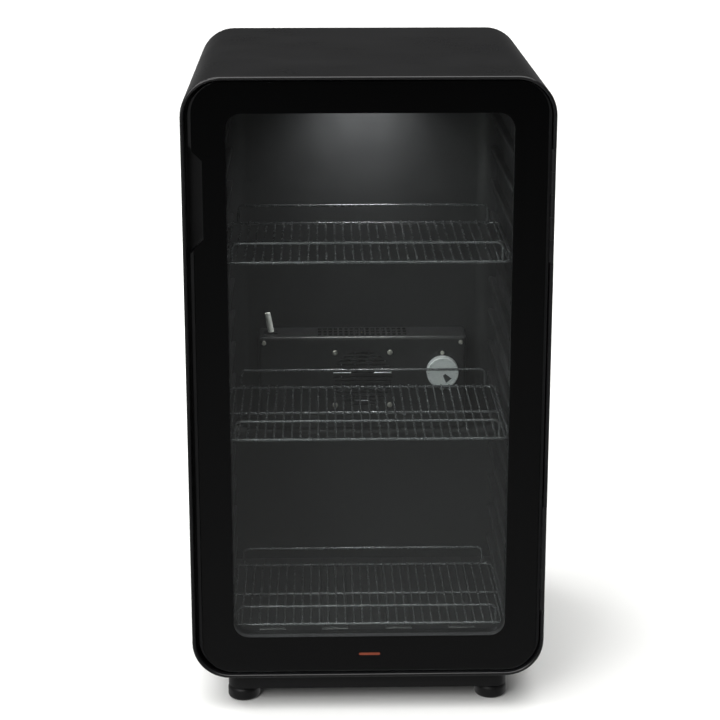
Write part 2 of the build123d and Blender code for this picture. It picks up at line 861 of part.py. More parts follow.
def cable_gland():
    """The strain relief on the back of the bay for the mains lead."""
    plate = block(-192, -152, 455, 458, 96, 136)
    plate = fillet(plate.edges().filter_by(Axis.Y), 4)
    nut = disc_y(-172, 458, 463, 116, 12)
    nose = disc_y(-172, 463, 472, 116, 9)
    leg = block(-192, -152, 450, 455, 51, 100)
    return plate + leg + nut + nose - disc_y(-172, 452, depth, 116, 4)


# ---------------------------------------------------------------- feet

def foot(x, d):
    """A squat levelling foot: a rounded pad moulded on a threaded stud."""
    pad = disc_z(x, d, 0, 20, foot_radius)
    pad = fillet(pad.edges().group_by(Axis.Z)[-1], 8)
    pad = fillet(pad.edges().group_by(Axis.Z)[0], 4)
    collar = disc_z(x, d, 19, plinth_bottom - fit_gap, 9)
    return pad + collar + disc_z(x, d, 20, cabinet_bottom - 6, stud_radius)


# ---------------------------------------------------------------- output

def all_nodes():
    """Every sub-part's name and its solids."""
    nodes = {
        "outer_shell": outer_shell(),
        "inner_liner": inner_liner(),
        "insulation_foam": insulation_foam(),
        "back_panel": back_panel(),
        "panel_screws": panel_screws(),
        "compressor_bay_panel": compressor_bay_panel(),
        "plinth": plinth(),
        "door_frame": door_frame(),
        "outer_glass": outer_glass(),
        "printed_border": printed_border(),
        "glass_spacer": glass_spacer(),
        "inner_glass": inner_glass(),
        "door_gasket": door_gasket(),
        "hinge_cabinet_leaves": hinge_cabinet_leaves(),
        "hinge_door_leaves": hinge_door_leaves(),
        "hinge_pins": hinge_pins(),
        "hinge_screws": hinge_screws(),
        "door_hinge_screws": door_hinge_screws(),
        "evaporator_cover": evaporator_cover(),
        "cover_screws": cover_screws(),
        "fan_frame": fan_frame(),
        "fan_rotor": fan_rotor(),
        "fan_screws": fan_screws(),
        "evaporator_fins": evaporator_fins(),
        "evaporator_tube": evaporator_tube(),
        "thermostat_body": thermostat_body(),
        "thermostat_screws": thermostat_screws(),
        "thermostat_knob": thermostat_knob(),
        "sensor_probe": sensor_probe(),
        "probe_clip": probe_clip(),
        "lamp_housing": lamp_housing(),
        "led_board": led_board(),
        "lamp_lens": lamp_lens(),
        "compressor": compressor(),
        "compressor_feet": compressor_feet(),
        "compressor_grommets": compressor_grommets(),
        "compressor_bolts": compressor_bolts(),
        "compressor_tray": compressor_tray(),
        "terminal_box": terminal_box(),
        "evaporation_tray": evaporation_tray(),
        "drain_tube": drain_tube(),
        "filter_drier": filter_drier(),
        "discharge_pipe": discharge_pipe(),
        "liquid_pipe": liquid_pipe(),
        "capillary_tube": capillary_tube(),
        "suction_pipe": suction_pipe(),
        "condenser_tube": condenser_tube(),
        "condenser_wires": condenser_wires(),
        "condenser_brackets": condenser_brackets(),
        "cable_gland": cable_gland(),
    }
    grid = shelf_grid()
    rails = guard_rails()
    for name in ("top", "middle", "bottom"):
        nodes[f"{name}_shelf_grid"] = place_shelf(grid, name)
        nodes[f"{name}_shelf_rails"] = [place_shelf(rail, name) for rail in rails]
    for side, x in (("left", -foot_x), ("right", foot_x)):
        nodes[f"front_{side}_foot"] = foot(x, foot_front)
        nodes[f"back_{side}_foot"] = foot(x, foot_back)
    return nodes


os.makedirs("parts", exist_ok=True)
for node, shape in all_nodes().items():
    solids = shape if isinstance(shape, list) else [shape]
    solids = [solid for item in solids for solid in item.solids()]
    export_step(Compound(children=solids) if len(solids) > 1 else solids[0], f"parts/{node}.step")
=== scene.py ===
"""Compact glass-door drinks cooler: finishes, small pieces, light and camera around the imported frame."""
import json
import logging
import math
from dataclasses import dataclass
from enum import Enum

import bmesh
import bpy
from mathutils import Matrix, Vector


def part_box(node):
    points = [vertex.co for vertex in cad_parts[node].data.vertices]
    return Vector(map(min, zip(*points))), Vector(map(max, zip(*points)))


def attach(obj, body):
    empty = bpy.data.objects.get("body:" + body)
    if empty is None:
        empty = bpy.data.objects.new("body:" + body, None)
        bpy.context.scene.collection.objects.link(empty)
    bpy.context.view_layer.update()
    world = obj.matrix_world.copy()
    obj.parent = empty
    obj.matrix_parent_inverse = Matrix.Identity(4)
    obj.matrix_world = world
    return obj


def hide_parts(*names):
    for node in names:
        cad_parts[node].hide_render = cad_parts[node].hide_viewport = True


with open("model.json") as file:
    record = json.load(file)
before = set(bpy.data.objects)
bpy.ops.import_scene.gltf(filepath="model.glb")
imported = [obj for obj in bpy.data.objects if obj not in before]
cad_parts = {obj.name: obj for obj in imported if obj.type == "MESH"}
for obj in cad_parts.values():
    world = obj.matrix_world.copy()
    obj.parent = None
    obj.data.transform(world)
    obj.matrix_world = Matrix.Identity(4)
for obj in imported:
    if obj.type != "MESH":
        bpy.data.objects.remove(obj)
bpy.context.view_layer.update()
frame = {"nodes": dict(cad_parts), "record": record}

log = logging.getLogger("drinks_cooler")
logging.basicConfig(level=logging.INFO, format="%(message)s")

MM = 0.001
FORWARD = Vector((0, -1, 0))
BACKWARD = Vector((0, 1, 0))
TO_THE_RIGHT = Vector((1, 0, 0))


# ---------------------------------------------------------------- shader helpers

def linear(hex_colour: str) -> tuple[float, float, float, float]:
    """Turns an sRGB hex colour into linear RGBA.

    Args:
        hex_colour: six hex digits, with or without a leading #.

    Returns:
        Red, green, blue and an alpha of 1.
    """
    digits = hex_colour.lstrip("#")
    channels = [int(digits[i:i + 2], 16) / 255 for i in (0, 2, 4)]
    red, green, blue = [c / 12.92 if c <= 0.04045 else ((c + 0.055) / 1.055) ** 2.4 for c in channels]
    return red, green, blue, 1.0


def add_node(tree: bpy.types.NodeTree, kind: str, values: dict | None = None, links: dict | None = None,
             **settings) -> bpy.types.Node:
    """Adds one shader node with its settings and links.

    Args:
        tree: The node tree.
        kind: The node's type, without its ShaderNode prefix.
        values: Input values by input name or index.
        links: Output sockets by the input name or index that they feed.
        settings: The node's own properties.

    Returns:
        The new node.
    """
    node = tree.nodes.new("ShaderNode" + kind)
    for name, value in settings.items():
        setattr(node, name, value)
    for name, value in (values or {}).items():
        node.inputs[name].default_value = value
    for name, socket in (links or {}).items():
        tree.links.new(socket, node.inputs[name])
    return node


def per_metre(size_mm: float) -> float:
    """The texture scale that gives a pattern of this size in millimetres."""
    return 1000.0 / size_mm


def new_tree(name: str) -> tuple[bpy.types.Material, bpy.types.NodeTree]:
    """Makes an empty material.

    Args:
        name: The material's name.

    Returns:
        The material and its node tree.
    """
    material = bpy.data.materials.new(name)
    material.use_nodes = True
    material.node_tree.nodes.clear()
    return material, material.node_tree


class Grain(Enum):
    """How a surface's fine relief is laid out."""

    EVEN = "the same in every direction, as moulded or sprayed surfaces are"
    DRAWN = "stretched along one axis, as on drawn, rolled or brushed metal"
    CRYSTAL = "flat cells, as zinc spangle or foam"


@dataclass(frozen=True)
class Finish:
    """A solid surface: what it is made of, how it was made, and how it meets the light."""

    name: str
    colour: str
    shade: str
    roughness: float
    spread: float = 0.05
    metallic: float = 0.0
    ior: float = 1.5
    coat: float = 0.0
    coat_roughness: float = 0.1
    grain: Grain = Grain.EVEN
    grain_mm: float = 1.0
    relief_mm: float = 0.02
    stretch: tuple[float, float, float] = (1.0, 1.0, 1.0)
    mottle_mm: float = 60.0
    glow: float = 0.0

    def height(self, tree: bpy.types.NodeTree, place: bpy.types.NodeSocket) -> bpy.types.NodeSocket:
        """Builds the fine relief.

        Args:
            tree: The material's node tree.
            place: The Object coordinates.

        Returns:
            A height from 0 to 1.
        """
        scale = per_metre(self.grain_mm)
        if self.grain is Grain.CRYSTAL:
            cells = add_node(tree, "TexVoronoi", {"Scale": scale}, {"Vector": place})
            return add_node(tree, "SeparateColor", links={"Color": cells.outputs["Color"]}).outputs["Red"]
        if self.grain is Grain.DRAWN:
            place = add_node(tree, "Mapping", {"Scale": self.stretch}, {"Vector": place}).outputs["Vector"]
        noise = add_node(tree, "TexNoise", {"Scale": scale, "Detail": 3.0, "Roughness": 0.55},
                         {"Vector": place})
        return noise.outputs["Fac"]

    def build(self) -> bpy.types.Material:
        """Builds the material.

        Returns:
            A material whose colour, roughness and relief come from noise at the real size.
        """
        material, tree = new_tree(self.name)
        place = add_node(tree, "TexCoord").outputs["Object"]
        height = self.height(tree, place)
        cloud = add_node(tree, "TexNoise", {"Scale": per_metre(self.mottle_mm), "Detail": 2.0},
                         {"Vector": place})
        share = add_node(tree, "Math", {1: 0.5}, {0: height}, operation="MULTIPLY")
        mixed = add_node(tree, "Math", {1: 0.5}, {0: cloud.outputs["Fac"], 2: share.outputs[0]},
                         operation="MULTIPLY_ADD")
        colour = add_node(tree, "Mix", {6: linear(self.colour), 7: linear(self.shade)}, {0: mixed.outputs[0]},
                          data_type="RGBA")
        dullest, glossiest = self.roughness + self.spread, max(self.roughness - self.spread, 0.02)
        rough = add_node(tree, "MapRange", {"From Min": 0.3, "From Max": 0.7, "To Min": glossiest,
                                            "To Max": dullest}, {"Value": mixed.outputs[0]})
        bump = add_node(tree, "Bump", {"Strength": 1.0, "Distance": self.relief_mm * MM}, {"Height": height})
        shader = add_node(tree, "BsdfPrincipled",
                          {"Metallic": self.metallic, "IOR": self.ior, "Coat Weight": self.coat,
                           "Coat Roughness": self.coat_roughness, "Emission Strength": self.glow,
                           "Emission Color": linear(self.colour)},
                          {"Base Color": colour.outputs[2], "Roughness": rough.outputs["Result"],
                           "Normal": bump.outputs["Normal"]})
        add_node(tree, "OutputMaterial", links={"Surface": shader.outputs["BSDF"]})
        return material


@dataclass(frozen=True)
class PaneGlass:
    """Clear float glass. Lamps shine through it onto what it shuts in."""

    name: str
    tint: str
    ior: float = 1.52

    def build(self) -> bpy.types.Material:
        """Builds the material: glass to the eye, and clear to the rays that look for lamps.

        Returns:
            The material.
        """
        material, tree = new_tree(self.name)
        glass = add_node(tree, "BsdfPrincipled", {"Base Color": linear(self.tint), "Roughness": 0.0,
                                                  "IOR": self.ior, "Transmission Weight": 1.0})
        clear = add_node(tree, "BsdfTransparent", {"Color": linear(self.tint)})
        path = add_node(tree, "LightPath")
        mix = add_node(tree, "MixShader", links={0: path.outputs["Is Shadow Ray"], 1: glass.outputs[0],
                                                 2: clear.outputs[0]})
        add_node(tree, "OutputMaterial", links={"Surface": mix.outputs[0]})
        return material


# ---------------------------------------------------------------- finishes

# Powder coat on steel: a faint orange peel, so reflections are soft and slightly broken.
POWDER_COAT = Finish("black_powder_coat", "#0b0b0c", "#131314", 0.30, grain_mm=1.6, relief_mm=0.006,
                     mottle_mm=90)
# Vacuum-formed polystyrene: the sheet keeps a satin skin that is duller where it stretched.
FORMED_PLASTIC = Finish("formed_black_polystyrene", "#1a1a1b", "#242425", 0.34, spread=0.07, grain_mm=1.1,
                        relief_mm=0.012, mottle_mm=45)
# Rigid polyurethane foam, blown in place: closed cells with a dry yellow skin.
FOAM = Finish("polyurethane_foam", "#d9c98c", "#c4b06c", 0.9, grain=Grain.CRYSTAL, grain_mm=1.5,
              relief_mm=0.25, mottle_mm=20)
# Hot-dip galvanised sheet: flat zinc crystals that catch the light one by one.
GALVANISED = Finish("galvanised_sheet", "#a9adb0", "#8d9295", 0.42, spread=0.12, metallic=0.9,
                    grain=Grain.CRYSTAL, grain_mm=9.0, relief_mm=0.01, mottle_mm=35)
# Injection-moulded ABS with a spark-eroded texture: a dull, even black.
TEXTURED_ABS = Finish("textured_black_abs", "#08080a", "#0e0e0f", 0.5, grain_mm=0.9, relief_mm=0.03,
                      mottle_mm=40)
# The same ABS from a polished tool: even and satin, as the door's moulding is.
SMOOTH_ABS = Finish("smooth_black_abs", "#070708", "#0b0b0c", 0.34, grain_mm=1.2, relief_mm=0.01,
                    mottle_mm=50)
# Glass-filled PBT of the fan: the fibres break its skin, so it stays dull.
FAN_PBT = Finish("glass_filled_pbt", "#070708", "#0b0b0c", 0.8, ior=1.3, grain_mm=0.8, relief_mm=0.03,
                 mottle_mm=20)
# Black ceramic ink fired into the back of the glass: with no air between them, its own face hardly reflects.
CERAMIC_INK = Finish("fired_black_ink", "#050505", "#070708", 0.5, ior=1.05, grain_mm=0.6, relief_mm=0.004,
                     mottle_mm=30)
# Anodised aluminium spacer bar, dark grey: lines of its extrusion run along it.
DARK_ANODISED = Finish("dark_anodised_bar", "#6b6b6d", "#4c4c4f", 0.34, metallic=0.85, grain=Grain.DRAWN,
                       grain_mm=2.0, relief_mm=0.01, stretch=(1.0, 1.0, 0.1), mottle_mm=25)
# Soft PVC of a magnetic seal: matt, with a slightly greasy sheen.
SOFT_PVC = Finish("soft_black_pvc", "#151516", "#1f1f20", 0.5, grain_mm=1.3, relief_mm=0.02, mottle_mm=30)
# Zinc-plated steel: bright, with fine drawing lines.
ZINC_STEEL = Finish("zinc_plated_steel", "#b9bbbd", "#9a9ca0", 0.3, metallic=1.0, grain=Grain.DRAWN,
                    grain_mm=0.8, relief_mm=0.006, stretch=(1.0, 1.0, 0.2), mottle_mm=12)
# Nickel-plated screw heads: mirror-like, a little blurred by tumbling.
NICKEL = Finish("nickel_plate", "#f1eee6", "#dcd8ce", 0.3, metallic=1.0, grain_mm=0.7, relief_mm=0.006,
                mottle_mm=6)
# Plated wire under a thin plastic coat: dark where it mirrors the room, with sharp bright dashes.
COATED_WIRE = Finish("plastic_coated_wire", "#7a7b7d", "#58595c", 0.26, metallic=0.7, coat=0.3, grain_mm=3.0,
                     relief_mm=0.02, mottle_mm=20)
# Black e-coat on the hinges: thin, satin, and a little lighter where fingers polish it.
E_COAT = Finish("black_e_coat", "#0c0c0d", "#151516", 0.33, grain_mm=1.0, relief_mm=0.008, mottle_mm=18)
# Silver-grey lacquered ABS of the dial: metal flake too fine to see, under a satin skin.
SILVER_LACQUER = Finish("silver_lacquered_abs", "#c9cbcc", "#bdbfc1", 0.34, metallic=0.15, grain_mm=0.8,
                        relief_mm=0.008, mottle_mm=10)
# White polypropylene sleeve over the sensor.
WHITE_SLEEVE = Finish("white_polypropylene", "#f2f2ee", "#e6e6e0", 0.42, grain_mm=1.0, relief_mm=0.01,
                      mottle_mm=8)
# Frosted polycarbonate in front of the lamp: it glows where the light sources are.
FROSTED_LENS = Finish("frosted_polycarbonate", "#f4f4f0", "#e4e6ea", 0.6, grain_mm=0.8, relief_mm=0.02,
                      mottle_mm=12, glow=0.6)
# White solder resist on the lamp's circuit strip.
SOLDER_RESIST = Finish("white_solder_resist", "#e9e9e2", "#dcdcd4", 0.35, grain_mm=1.5, relief_mm=0.01,
                       mottle_mm=9)
# Mill-finish aluminium fins: rolled, so the lines run along the sheet.
MILL_ALUMINIUM = Finish("mill_aluminium", "#cfd2d4", "#b4b7ba", 0.34, metallic=1.0, grain=Grain.DRAWN,
                        grain_mm=1.0, relief_mm=0.01, stretch=(1.0, 1.0, 0.1), mottle_mm=18)
# Drawn copper tube, handled and brazed: warm metal with brown tarnish in patches.
COPPER = Finish("tarnished_copper", "#c77f5a", "#8a4f36", 0.33, spread=0.1, metallic=1.0, grain_mm=2.5,
                relief_mm=0.01, mottle_mm=14)
# Stoved enamel on the compressor's pressed shell: thick, glossy, a little wavy.
STOVED_ENAMEL = Finish("black_stoved_enamel", "#0d0d0e", "#161617", 0.22, coat=0.4, grain_mm=6.0,
                       relief_mm=0.05, mottle_mm=40)
# Dipped black paint on the condenser: it runs and pools, so its gloss varies.
DIPPED_PAINT = Finish("dipped_black_paint", "#101011", "#1a1a1b", 0.4, spread=0.12, grain_mm=4.0,
                      relief_mm=0.03, mottle_mm=30)
# Natural grey polypropylene of the defrost tray.
GREY_TRAY = Finish("grey_polypropylene", "#7b7e80", "#6c6f72", 0.48, grain_mm=1.4, relief_mm=0.02,
                   mottle_mm=30)
# Fired orange ink of the plain dash on the door.
ORANGE_INK = Finish("fired_orange_ink", "#86391d", "#6f2f19", 0.4, grain_mm=0.7, relief_mm=0.004, mottle_mm=5)
# Dark grey pad print of the dial's ticks; the same ink, laid in the pointer recess as the wedge, is painted
# shade.
DIAL_PRINT_AND_SHADE_INK = Finish("dark_pad_print_and_painted_shade", "#2c2d2f", "#38393b", 0.5, grain_mm=0.7, relief_mm=0.004, mottle_mm=5)
# Float glass: clear, with the faint green of its iron.
FLOAT_GLASS = PaneGlass("clear_float_glass", "#f9fbfa")
# Matt seamless paper under the cooler.
PALE_PAPER = Finish("pale_paper_sweep", "#f3f3f1", "#f0f0ee", 0.9, ior=1.2, grain_mm=4.0, relief_mm=0.02,
                    mottle_mm=400)

FINISH_OF_SLOT = {
    "shell_black": POWDER_COAT, "liner_black": FORMED_PLASTIC, "foam": FOAM, "galvanised": GALVANISED,
    "base_black": TEXTURED_ABS, "foot_black": TEXTURED_ABS, "frame_black": SMOOTH_ABS,
    "clear_glass": FLOAT_GLASS, "black_print": CERAMIC_INK, "spacer_metal": DARK_ANODISED,
    "seal_black": SOFT_PVC, "steel": ZINC_STEEL, "screw_bright": NICKEL, "shelf_wire": COATED_WIRE,
    "hinge_black": E_COAT, "dial_silver": SILVER_LACQUER, "probe_white": WHITE_SLEEVE,
    "lamp_white": FROSTED_LENS, "board_white": SOLDER_RESIST, "alu_fin": MILL_ALUMINIUM, "copper": COPPER,
    "compressor_black": STOVED_ENAMEL, "condenser_black": DIPPED_PAINT, "tray_grey": GREY_TRAY,
}
FINISH_OF_NODE = {"fan_frame": FAN_PBT, "fan_rotor": FAN_PBT}


class Paintshop:
    """Builds each finish once and puts it on CAD nodes and new pieces."""

    def __init__(self) -> None:
        """Starts with no material built."""
        self.built: dict[str, bpy.types.Material] = {}

    def material(self, finish: Finish | PaneGlass) -> bpy.types.Material:
        """The material of a finish, built the first time it is asked for.

        Args:
            finish: The finish.

        Returns:
            Its material.
        """
        if finish.name not in self.built:
            self.built[finish.name] = finish.build()
        return self.built[finish.name]

    def coat(self, piece: bpy.types.Object, finish: Finish | PaneGlass) -> None:
        """Gives a piece one finish all over."""
        piece.data.materials.clear()
        piece.data.materials.append(self.material(finish))

    def coat_frame(self) -> None:
        """Gives every CAD node the finish of its material slot."""
        for part in frame["record"]["subparts"]:
            node = frame["nodes"][part["node"]]
            finish = FINISH_OF_NODE.get(part["node"], FINISH_OF_SLOT[part["material_slot"]])
            self.coat(node, finish)
            log.info("node %s: %s", node.name, finish.name)


# ---------------------------------------------------------------- mesh helpers

def finished_piece(name: str, mesh: bmesh.types.BMesh, body: str, smooth_deg: float = 35.0
                   ) -> bpy.types.Object:
    """Turns a bmesh into a piece that rides on a body.

    Args:
        name: The piece's name.
        mesh: Its faces, in place, in metres. It is freed here.
        body: The CAD body that it moves with.
        smooth_deg: Edges sharper than this stay sharp.

    Returns:
        The new object, at the origin.
    """
    bmesh.ops.remove_doubles(mesh, verts=mesh.verts, dist=1e-6)
    bmesh.ops.recalc_face_normals(mesh, faces=mesh.faces)
    limit = math.radians(smooth_deg)
    for face in mesh.faces:
        face.smooth = True
    for edge in mesh.edges:
        edge.smooth = len(edge.link_faces) == 2 and edge.calc_face_angle() < limit
    data = bpy.data.meshes.new(name)
    mesh.to_mesh(data)
    mesh.free()
    piece = bpy.data.objects.new(name, data)
    bpy.context.scene.collection.objects.link(piece)
    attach(piece, body)
    log.info("piece %s: %d faces on %s", name, len(data.polygons), body)
    return piece


def spun(mesh: bmesh.types.BMesh, profile: list[tuple[float, float]], steps: int) -> None:
    """Spins a profile of (radius, height) points about Z into a closed solid.

    Args:
        mesh: Where the faces go.
        profile: Points from the lower end of the axis to its upper end.
        steps: Segments round the axis.
    """
    verts = [mesh.verts.new((radius, 0.0, height)) for radius, height in profile]
    edges = [mesh.edges.new(pair) for pair in zip(verts, verts[1:])]
    bmesh.ops.spin(mesh, geom=verts + edges, cent=(0, 0, 0), axis=(0, 0, 1), angle=2 * math.pi, steps=steps,
                   use_merge=True)
    bmesh.ops.remove_doubles(mesh, verts=mesh.verts, dist=1e-7)
    bmesh.ops.recalc_face_normals(mesh, faces=mesh.faces)


def toward(axis: Vector, place: Vector) -> Matrix:
    """The matrix that turns +Z to an axis and moves the origin to a place."""
    return Matrix.Translation(place) @ axis.to_track_quat("Z", "Y").to_matrix().to_4x4()


def prism(mesh: bmesh.types.BMesh, outline: list[Vector], depth: Vector) -> None:
    """Adds a closed prism.

    Args:
        mesh: Where the faces go.
        outline: The corners of one end, in order.
        depth: From that end to the other.
    """
    face = mesh.faces.new([mesh.verts.new(corner) for corner in outline])
    grown = bmesh.ops.extrude_face_region(mesh, geom=[face], use_keep_orig=True)
    moved = [item for item in grown["geom"] if isinstance(item, bmesh.types.BMVert)]
    bmesh.ops.translate(mesh, verts=moved, vec=depth)


# ---------------------------------------------------------------- screws

@dataclass(frozen=True)
class ScrewSize:
    """A pan-head screw's sizes."""

    head_radius: float
    head_height: float
    shank_radius: float
    shank_length: float


@dataclass
class CrossScrews:
    """A set of pan-head screws with cross recesses, in place of a node's plain ones."""

    node: str
    body: str
    places: list[Vector]
    axis: Vector
    size: ScrewSize
    steps: int = 32
    recess_share: float = 0.56
    slot_share: float = 0.13
    recess_depth: float = 0.5
    first_turn_deg: float = 23.0
    next_turn_deg: float = 37.0

    def outline(self) -> list[tuple[float, float]]:
        """The screw's half section, as radius and height.

        Returns:
            Points from the tip of the shank, up its side, out under the head and over the dome.
        """
        radius, height = self.size.head_radius, self.size.head_height
        shank, length = self.size.shank_radius, self.size.shank_length
        points = [(0, -length), (shank * 0.4, -length), (shank, shank - length), (shank, 0), (radius, 0),
                  (radius, height * 0.45), (radius * 0.93, height * 0.72), (radius * 0.78, height * 0.9)]
        points += [(radius * share, height * (1 - 0.1 * share)) for share in (0.6, 0.48, 0.36, 0.24, 0.12)]
        return points + [(0, height)]

    def one(self, mesh: bmesh.types.BMesh) -> None:
        """Adds a screw at the origin, with its seat at Z 0 and its head above.

        Args:
            mesh: Where the faces go.
        """
        spun(mesh, self.outline(), self.steps)
        radius, height = self.size.head_radius, self.size.head_height
        recess = []
        for face in mesh.faces:
            middle = face.calc_center_median()
            on_top = middle.xy.length < radius * self.recess_share and middle.z > height * 0.85
            if on_top and min(abs(middle.x), abs(middle.y)) < radius * self.slot_share:
                recess.append(face)
        sunk = bmesh.ops.extrude_face_region(mesh, geom=recess)
        floor = [item for item in sunk["geom"] if isinstance(item, bmesh.types.BMVert)]
        bmesh.ops.translate(mesh, verts=floor, vec=(0, 0, -height * self.recess_depth))

    def build(self, shop: Paintshop) -> bpy.types.Object:
        """Builds the whole set as one piece of separate screws and hides the plain ones.

        Args:
            shop: Where the finishes come from.

        Returns:
            The piece.
        """
        mesh = bmesh.new()
        pattern = bmesh.new()
        self.one(pattern)
        stock = bpy.data.meshes.new(self.node + "_pattern")
        pattern.to_mesh(stock)
        pattern.free()
        for number, place in enumerate(self.places):
            turn = Matrix.Rotation(math.radians(self.first_turn_deg + self.next_turn_deg * number), 4, "Z")
            first = len(mesh.verts)
            mesh.from_mesh(stock)
            mesh.verts.ensure_lookup_table()
            bmesh.ops.transform(mesh, matrix=toward(self.axis, place) @ turn, verts=mesh.verts[first:])
        bpy.data.meshes.remove(stock)
        piece = finished_piece(self.node + "_cross_heads", mesh, self.body)
        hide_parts(self.node)
        shop.coat(piece, NICKEL)
        return piece


@dataclass
class ScrewKit:
    """All the screws that show, placed by the boxes of their nodes."""

    fan_size: ScrewSize = ScrewSize(3.9 * MM, 2.4 * MM, 2 * MM, 24 * MM)
    ear_radius: float = 3 * MM
    ear_shank: float = 1.4 * MM
    cover_head_radius: float = 3.2 * MM
    cover_head_height: float = 1.8 * MM
    panel_size: ScrewSize = ScrewSize(3.8 * MM, 2.2 * MM, 1.8 * MM, 10 * MM)
    panel_rows: int = 4
    flange_size: ScrewSize = ScrewSize(3.6 * MM, 1.8 * MM, 2 * MM, 14 * MM)
    door_edge_size: ScrewSize = ScrewSize(3.2 * MM, 1.5 * MM, 1.7 * MM, 14 * MM)
    hinge_length: float = 145 * MM
    leaf_shares: tuple[float, float, float] = (0.12, 0.5, 0.88)

    def hinge_heights(self) -> list[float]:
        """Heights of the screws along both hinges.

        Returns:
            Three heights for the lower hinge and three for the upper.
        """
        low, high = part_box("hinge_cabinet_leaves")
        bottoms = (low.z, high.z - self.hinge_length)
        return [bottom + share * self.hinge_length for bottom in bottoms for share in self.leaf_shares]

    def fan_screws(self) -> CrossScrews:
        """The four screws that hold the fan behind its cover."""
        low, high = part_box("fan_screws")
        edge = self.fan_size.head_radius
        seat = low.y + self.fan_size.head_height
        heights = (low.z + edge, high.z - edge)
        places = [Vector((x, seat, z)) for x in (low.x + edge, high.x - edge) for z in heights]
        return CrossScrews("fan_screws", "cabinet", places, FORWARD, self.fan_size)

    def thermostat_screws(self) -> CrossScrews:
        """The two screws in the thermostat's ears."""
        low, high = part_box("thermostat_screws")
        edge = self.ear_radius
        places = [Vector(((low.x + high.x) / 2, high.y, z)) for z in (low.z + edge, high.z - edge)]
        size = ScrewSize(edge, high.y - low.y, self.ear_shank, self.ear_shank)
        return CrossScrews("thermostat_screws", "cabinet", places, FORWARD, size)

    def cover_screws(self) -> CrossScrews:
        """The two screws in the top corners of the evaporator's cover."""
        low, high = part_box("cover_screws")
        edge, height = self.cover_head_radius, self.cover_head_height
        places = [Vector((x, low.y + height, (low.z + high.z) / 2)) for x in (low.x + edge, high.x - edge)]
        size = ScrewSize(edge, height, height, high.y - low.y - 2 * MM)
        return CrossScrews("cover_screws", "cabinet", places, FORWARD, size)

    def panel_screws(self) -> CrossScrews:
        """The screws down both edges of the back panel."""
        low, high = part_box("panel_screws")
        edge = self.panel_size.head_radius
        rise = (high.z - low.z - 2 * edge) / (self.panel_rows - 1)
        rows = [low.z + edge + row * rise for row in range(self.panel_rows)]
        seat = high.y - self.panel_size.head_height
        places = [Vector((x, seat, z)) for x in (low.x + edge, high.x - edge) for z in rows]
        return CrossScrews("panel_screws", "cabinet", places, BACKWARD, self.panel_size)

    def hinge_screws(self) -> CrossScrews:
        """The screws of the hinges' fixed leaves."""
        low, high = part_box("hinge_screws")
        seat = low.y + self.flange_size.head_height
        places = [Vector(((low.x + high.x) / 2, seat, z)) for z in self.hinge_heights()]
        return CrossScrews("hinge_screws", "cabinet", places, FORWARD, self.flange_size)

    def door_hinge_screws(self) -> CrossScrews:
        """The screws of the hinges' moving leaves, in the door's edge."""
        low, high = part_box("door_hinge_screws")
        seat = high.x - self.door_edge_size.head_height
        places = [Vector((seat, (low.y + high.y) / 2, z)) for z in self.hinge_heights()]
        return CrossScrews("door_hinge_screws", "door", places, TO_THE_RIGHT, self.door_edge_size)

    def build(self, shop: Paintshop) -> None:
        """Builds each set.

        Args:
            shop: Where the finishes come from.
        """
        for screws in (self.fan_screws(), self.thermostat_screws(), self.cover_screws(), self.panel_screws(),
                       self.hinge_screws(), self.door_hinge_screws()):
            screws.build(shop)


# ---------------------------------------------------------------- door

@dataclass
class DoorDash:
    """The plain orange dash printed low on the door, with no lettering."""

    width: float = 28 * MM
    height: float = 3.4 * MM
    thickness: float = 0.12 * MM
    below_inner_pane: float = 12 * MM
    end_steps: int = 8

    def outline(self, middle: Vector) -> list[Vector]:
        """The dash's edge, with round ends.

        Args:
            middle: The dash's middle, on the glass.

        Returns:
            The corners in order.
        """
        radius = self.height / 2
        straight = self.width / 2 - radius
        corners = []
        for side in (1, -1):
            for step in range(self.end_steps + 1):
                angle = math.radians(180 * step / self.end_steps - 90 * side)
                corners.append(middle + Vector((side * straight + radius * math.cos(angle), 0,
                                                radius * math.sin(angle))))
        return corners

    def build(self, shop: Paintshop) -> bpy.types.Object:
        """Builds the dash as a thin rounded bar on the front of the glass.

        Args:
            shop: Where the finishes come from.

        Returns:
            The piece.
        """
        front_low, front_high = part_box("outer_glass")
        inner_low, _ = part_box("inner_glass")
        middle = Vector(((front_low.x + front_high.x) / 2, front_low.y, inner_low.z - self.below_inner_pane))
        mesh = bmesh.new()
        prism(mesh, self.outline(middle), Vector((0, -self.thickness, 0)))
        piece = finished_piece("door_dash", mesh, "door")
        shop.coat(piece, ORANGE_INK)
        return piece


